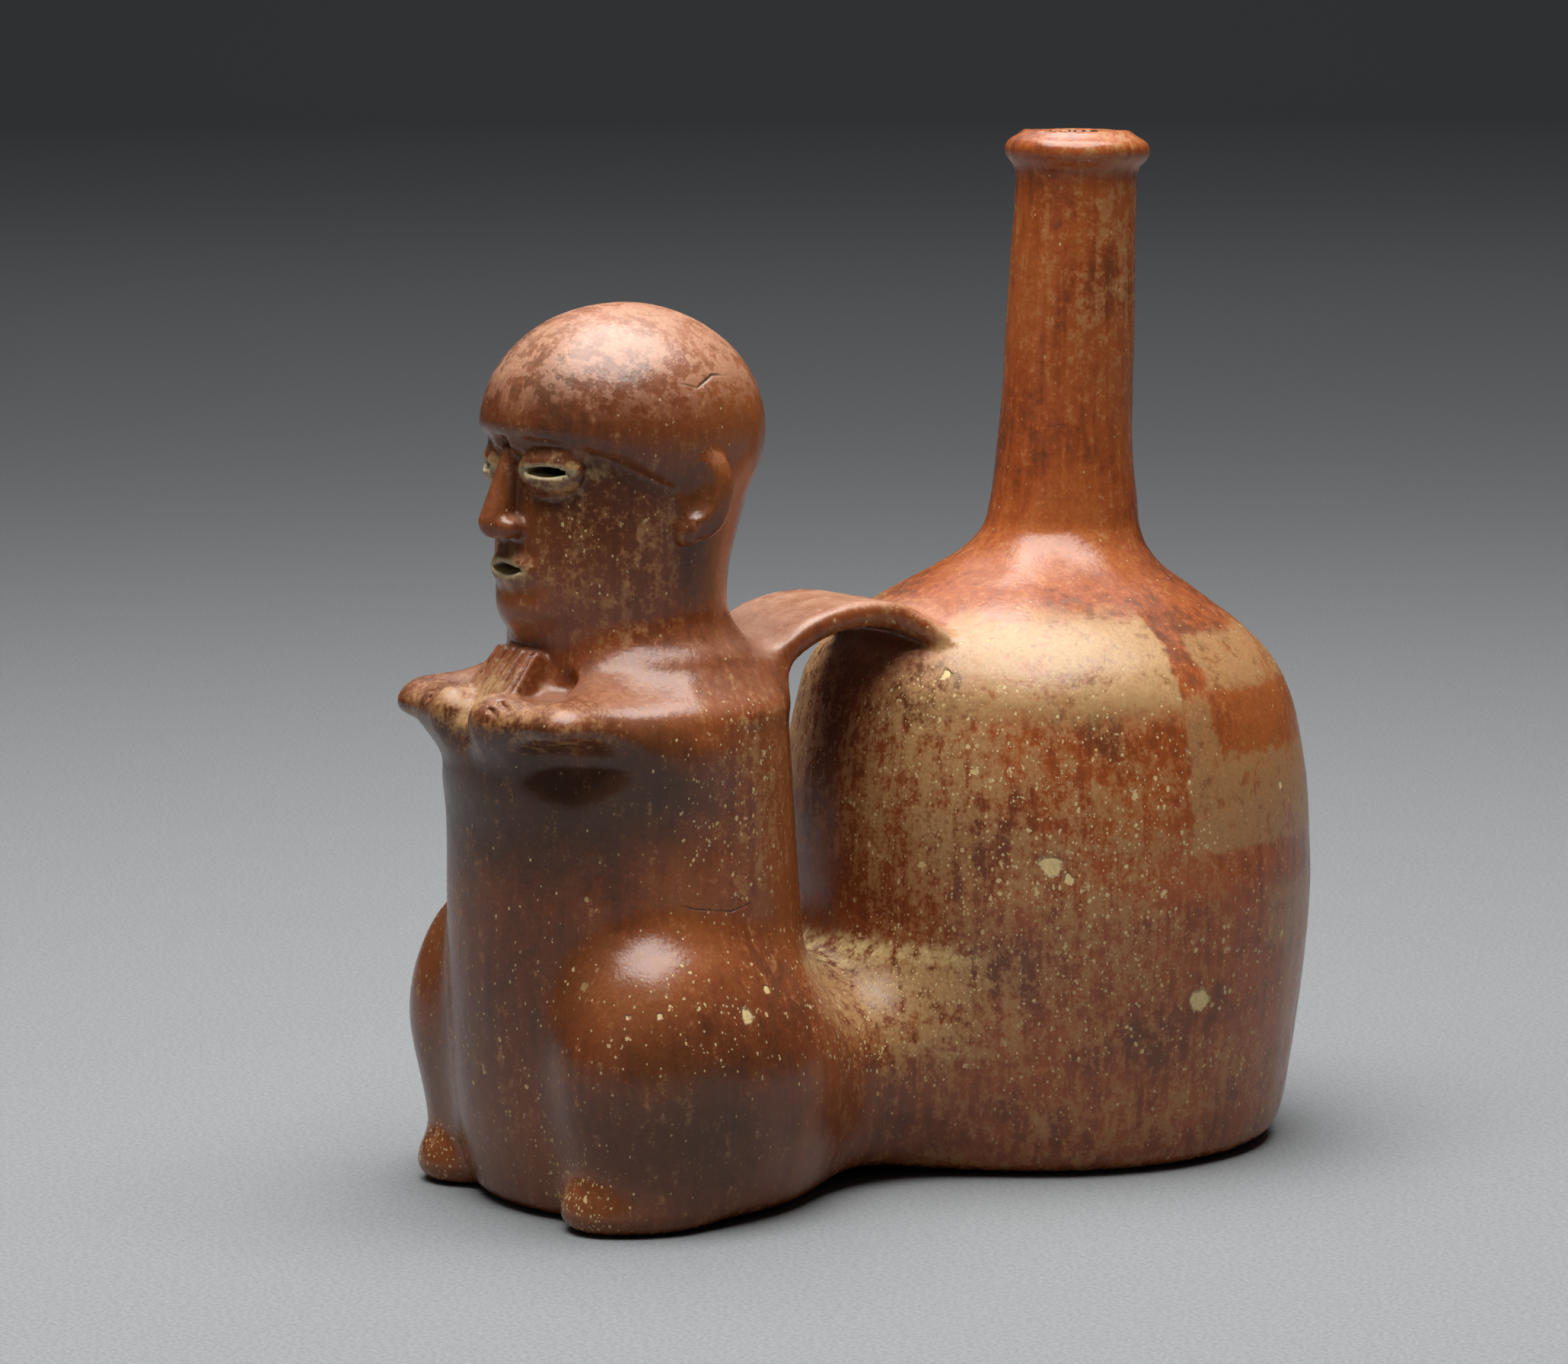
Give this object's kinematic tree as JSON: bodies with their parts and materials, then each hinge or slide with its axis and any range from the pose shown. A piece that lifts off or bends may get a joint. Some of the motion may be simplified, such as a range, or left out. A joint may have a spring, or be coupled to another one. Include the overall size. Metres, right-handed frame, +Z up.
{
  "type": "effigy bottle",
  "caption": "Hollow fired-clay bottle with a seated pipe-playing figure, a low passage, a strap handle and a tall lipped spout.",
  "frame": {"origin": "middle of the plan box, on the plane the vessel stands on", "axes": "the figure faces -Y, its left hand is toward +X, the bottle with its spout is toward +Y, +Z up"},
  "size_m": [0.111, 0.1968, 0.2103],
  "materials": {
    "burnished_slip": "burnished"
  },
  "bodies": {
    "root": {"vessel": "burnished_slip"}
  },
  "joints": []
}
